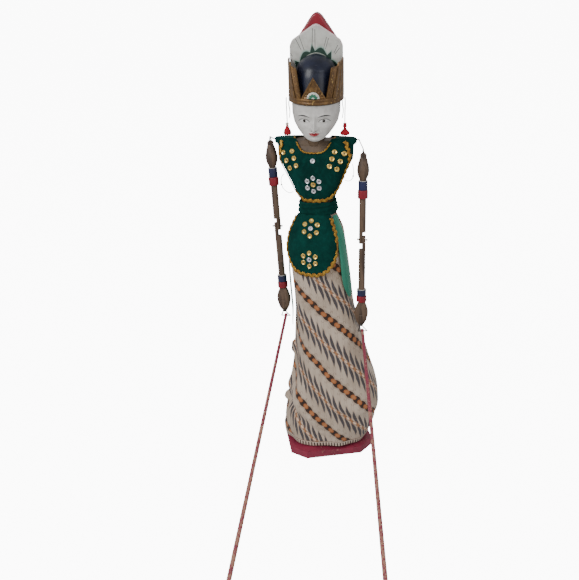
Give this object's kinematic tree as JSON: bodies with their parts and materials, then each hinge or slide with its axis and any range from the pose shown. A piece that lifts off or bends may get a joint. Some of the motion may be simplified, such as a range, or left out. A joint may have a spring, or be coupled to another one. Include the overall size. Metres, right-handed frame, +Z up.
{
  "type": "wayang golek rod puppet",
  "caption": "Carved rod puppet with jointed arms on hand rods, a turning crowned head, a velvet bodice and a long batik skirt, on a square wooden stand.",
  "frame": {"origin": "middle of the stand's underside, on the main rod's axis", "axes": "+Z up along the main rod; the torso faces -Y; +X is the puppet's own left side, to the right when it is seen from the front"},
  "size_m": [0.2236, 0.4396, 0.5995],
  "materials": {
    "stand_paint": "worn dark-red paint",
    "screw_steel": "plain",
    "brown_paint": "thin brown paint, rubbed at the edges",
    "velvet": "dark-green velvet",
    "gold_braid": "metallic zig-zag braid",
    "gold_sequin": "metallic",
    "silver_sequin": "metallic",
    "clear_bead": "clear bead",
    "satin": "light-green satin",
    "batik": "printed batik cotton",
    "dark_thread": "thread",
    "white_paint": "satin white paint",
    "navy_paint": "glossy navy paint",
    "gold_paint": "gold-brown paint",
    "green_paint": "green and white paint",
    "red_paint": "satin red paint",
    "ribbon": "dark-green ribbon",
    "red_wool": "red wool",
    "waxed_string": "waxed string",
    "rod_paint": "red paint worn to bare wood"
  },
  "bodies": {
    "stand": {"stand_base": "stand_paint", "stand_post": "stand_paint", "stand_screws": "screw_steel"},
    "torso": {"torso": "brown_paint", "bodice": "velvet", "bodice_trim": "gold_braid", "neckline_trim": "gold_braid", "waist_sash": "velvet", "apron": "velvet", "apron_trim": "gold_braid", "sequins_gold": "gold_sequin", "sequins_silver": "silver_sequin", "sequin_beads": "clear_bead", "side_sash_l": "satin", "side_sash_r": "satin", "skirt": "batik", "bodice_tie_l": "dark_thread", "bodice_tie_r": "dark_thread"},
    "head": {"main_rod": "brown_paint", "stop_collar": "brown_paint", "neck": "brown_paint", "head": "white_paint", "hair_dome": "navy_paint", "diadem": "gold_paint", "diadem_jewel": "green_paint", "crest_fan": "white_paint", "crest_back": "red_paint", "ear_ribbon_l": "ribbon", "ear_ribbon_r": "ribbon"},
    "tassel_l": {"tassel_cord_l": "dark_thread", "tassel_bead_l": "gold_paint", "tassel_l": "red_wool"},
    "tassel_r": {"tassel_cord_r": "dark_thread", "tassel_bead_r": "red_wool", "tassel_r": "red_wool"},
    "shoulder_string_l": {"shoulder_string_l": "waxed_string"},
    "upper_arm_l": {"upper_arm_l": "brown_paint", "armband_blue_l": "navy_paint", "armband_red_l": "red_paint", "elbow_string_l": "waxed_string"},
    "forearm_l": {"forearm_l": "brown_paint", "wristband_blue_l": "navy_paint", "wristband_red_l": "red_paint"},
    "hand_string_l": {"hand_string_l": "waxed_string"},
    "hand_rod_l": {"hand_rod_l": "rod_paint"},
    "shoulder_string_r": {"shoulder_string_r": "waxed_string"},
    "upper_arm_r": {"upper_arm_r": "brown_paint", "armband_blue_r": "navy_paint", "armband_red_r": "red_paint", "elbow_string_r": "waxed_string"},
    "forearm_r": {"forearm_r": "brown_paint", "wristband_blue_r": "navy_paint", "wristband_red_r": "red_paint"},
    "hand_string_r": {"hand_string_r": "waxed_string"},
    "hand_rod_r": {"hand_rod_r": "rod_paint"}
  },
  "joints": [
    {"name": "puppet_lift", "type": "slide", "parent": "stand", "child": "torso", "axis": [0, 0, 1], "range_m": [0, 0.025]},
    {"name": "head_turn", "type": "hinge", "parent": "torso", "child": "head", "pos_m": [0, 0, 0.44], "axis": [0, 0, 1], "range_deg": [-45, 45]},
    {"name": "tassel_swing_l", "type": "hinge", "parent": "head", "child": "tassel_l", "pos_m": [-0.03153, -0.01683, 0.49989], "axis": [-0.99, -0.1391, 0.0244], "range_deg": [-15, 25]},
    {"name": "tassel_swing_r", "type": "hinge", "parent": "head", "child": "tassel_r", "pos_m": [0.04173, -0.00653, 0.49808], "axis": [-0.99, -0.1391, 0.0244], "range_deg": [-15, 25]},
    {"name": "arm_swing_l", "type": "hinge", "parent": "torso", "child": "shoulder_string_l", "pos_m": [-0.052, 0, 0.4428], "axis": [-1, 0, 0], "range_deg": [-10, 90]},
    {"name": "arm_spread_l", "type": "hinge", "parent": "shoulder_string_l", "child": "upper_arm_l", "pos_m": [-0.061, 0, 0.4361], "axis": [0.0035, 0.9976, -0.0697], "range_deg": [0, 40]},
    {"name": "elbow_bend_l", "type": "hinge", "parent": "upper_arm_l", "child": "forearm_l", "pos_m": [-0.05536, -0.0078, 0.32472], "axis": [-0.9987, 0, -0.0506], "range_deg": [0, 100]},
    {"name": "rod_spread_l", "type": "hinge", "parent": "forearm_l", "child": "hand_string_l", "pos_m": [-0.04942, -0.01601, 0.20745], "axis": [0.0035, 0.9976, -0.0697], "range_deg": [-5, 15]},
    {"name": "rod_tilt_l", "type": "hinge", "parent": "hand_string_l", "child": "hand_rod_l", "pos_m": [-0.046, -0.0245, 0.2005], "axis": [-0.9996, -0.0297, 0], "range_deg": [-15, 35]},
    {"name": "arm_swing_r", "type": "hinge", "parent": "torso", "child": "shoulder_string_r", "pos_m": [0.052, 0, 0.4428], "axis": [-1, 0, 0], "range_deg": [-10, 90]},
    {"name": "arm_spread_r", "type": "hinge", "parent": "shoulder_string_r", "child": "upper_arm_r", "pos_m": [0.0623, 0, 0.4216], "axis": [0.0015, -0.9976, 0.0697], "range_deg": [0, 40]},
    {"name": "elbow_bend_r", "type": "hinge", "parent": "upper_arm_r", "child": "forearm_r", "pos_m": [0.05996, -0.0078, 0.3101], "axis": [-0.9998, 0, 0.0209], "range_deg": [0, 100]},
    {"name": "rod_spread_r", "type": "hinge", "parent": "forearm_r", "child": "hand_string_r", "pos_m": [0.05751, -0.01601, 0.19271], "axis": [0.0015, -0.9976, 0.0697], "range_deg": [-5, 15]},
    {"name": "rod_tilt_r", "type": "hinge", "parent": "hand_string_r", "child": "hand_rod_r", "pos_m": [0.061, -0.0245, 0.1845], "axis": [-0.9664, -0.2571, 0], "range_deg": [-15, 35]}
  ]
}
